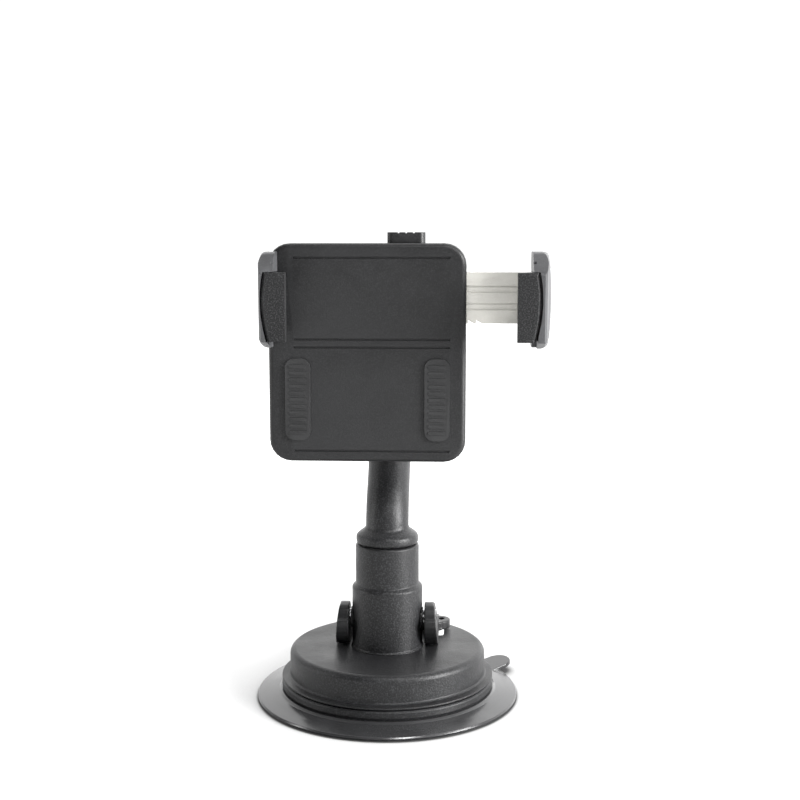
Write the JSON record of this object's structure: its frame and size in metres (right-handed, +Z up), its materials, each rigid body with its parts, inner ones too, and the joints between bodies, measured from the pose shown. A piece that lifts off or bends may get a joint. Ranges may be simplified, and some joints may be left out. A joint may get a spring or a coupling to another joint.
{
  "type": "car phone mount",
  "caption": "Suction-cup phone mount: round lever-locked base, upright neck, bent swivel arm, ball joint with lock ring, and a flat cradle with a fixed jaw and a sliding jaw",
  "frame": {"origin": "centre of the gel face that sticks to the dashboard", "axes": "+Z up along the neck, away from the dashboard; the phone's screen faces -Y; +X is the sliding jaw's side"},
  "size_m": [0.0959, 0.0878, 0.1554],
  "materials": {
    "gel": "smooth clear-grey tacky gel",
    "cup_rubber": "satin moulded charcoal rubber",
    "nylon": "natural moulded nylon",
    "steel": "zinc-plated steel",
    "base_plastic": "fine-grain charcoal plastic",
    "lever_plastic": "satin black plastic",
    "cradle_plastic": "fine-grain black plastic",
    "jaw_plastic": "satin charcoal plastic",
    "grip_rubber": "speckled soft black rubber"
  },
  "bodies": {
    "base": {"gel_pad": "gel", "suction_cup": "cup_rubber", "cup_hub": "cup_rubber", "stem_spring": "steel", "base_ring": "base_plastic", "base_housing": "base_plastic", "ring_screw_1": "steel", "ring_screw_2": "steel", "ring_screw_3": "steel", "neck_post": "base_plastic", "neck_screw_1": "steel", "neck_screw_2": "steel", "neck_screw_3": "steel"},
    "stem": {"pull_stem": "nylon", "lever_pin": "steel"},
    "lever": {"suction_lever": "lever_plastic"},
    "arm": {"support_arm": "base_plastic", "swivel_bolt": "steel", "swivel_washer": "steel", "ball_stud": "steel", "stud_nut": "steel"},
    "liner": {"ball_liner": "nylon"},
    "socket": {"ball_socket": "base_plastic"},
    "ring": {"lock_ring": "base_plastic"},
    "cradle": {"cradle_front_shell": "cradle_plastic", "cradle_back_shell": "cradle_plastic", "swivel_retainer": "steel", "retainer_screw_1": "steel", "retainer_screw_2": "steel", "retainer_screw_3": "steel", "friction_washer": "steel", "shell_screw_1": "steel", "shell_screw_2": "steel", "shell_screw_3": "steel", "shell_screw_4": "steel", "left_grip_strip": "grip_rubber", "right_grip_strip": "grip_rubber", "left_jaw": "jaw_plastic", "left_jaw_facing": "grip_rubber", "left_jaw_screw_1": "steel", "left_jaw_screw_2": "steel", "button_spring": "steel"},
    "jaw": {"right_jaw": "jaw_plastic", "right_jaw_facing": "grip_rubber", "right_jaw_screw_1": "steel", "right_jaw_screw_2": "steel", "jaw_rail": "nylon"},
    "button": {"release_button": "lever_plastic", "pawl_slider": "nylon"}
  },
  "joints": [
    {"name": "stem_slide", "type": "slide", "parent": "base", "child": "stem", "axis": [0, 0, 1], "range_m": [-0.0022, 0], "deforming": ["cup_hub", "stem_spring"]},
    {"name": "lever_flip", "type": "hinge", "parent": "stem", "child": "lever", "pos_m": [0, 0, 0.0274], "axis": [1, 0, 0], "range_deg": [0, 60]},
    {"name": "arm_swivel", "type": "hinge", "parent": "base", "child": "arm", "pos_m": [0, 0, 0.05], "axis": [0, 0, 1], "continuous": true},
    {"name": "ball_pan", "type": "hinge", "parent": "arm", "child": "liner", "pos_m": [0, -0.001, 0.1175], "axis": [0, 0, 1], "range_deg": [-15, 15]},
    {"name": "ball_tilt", "type": "hinge", "parent": "liner", "child": "socket", "pos_m": [0, -0.001, 0.1175], "axis": [1, 0, 0], "range_deg": [-15, 15]},
    {"name": "lock_ring_turn", "type": "hinge", "parent": "socket", "child": "ring", "pos_m": [0, -0.001, 0.1175], "axis": [0, 1, 0], "range_deg": [0, 120]},
    {"name": "cradle_roll", "type": "hinge", "parent": "socket", "child": "cradle", "pos_m": [0, -0.001, 0.1175], "axis": [0, 1, 0], "continuous": true},
    {"name": "jaw_slide", "type": "slide", "parent": "cradle", "child": "jaw", "axis": [1, 0, 0], "range_m": [-0.0194, 0.01]},
    {"name": "button_press", "type": "slide", "parent": "cradle", "child": "button", "axis": [0, 0, -1], "range_m": [0, 0.002], "stiffness_N_per_m": 120, "springref_m": -0.0008, "deforming": ["button_spring"]}
  ],
  "couplings": [
    {"joint": "lever_flip", "follows": "stem_slide", "rad_per_m": -475.99}
  ]
}
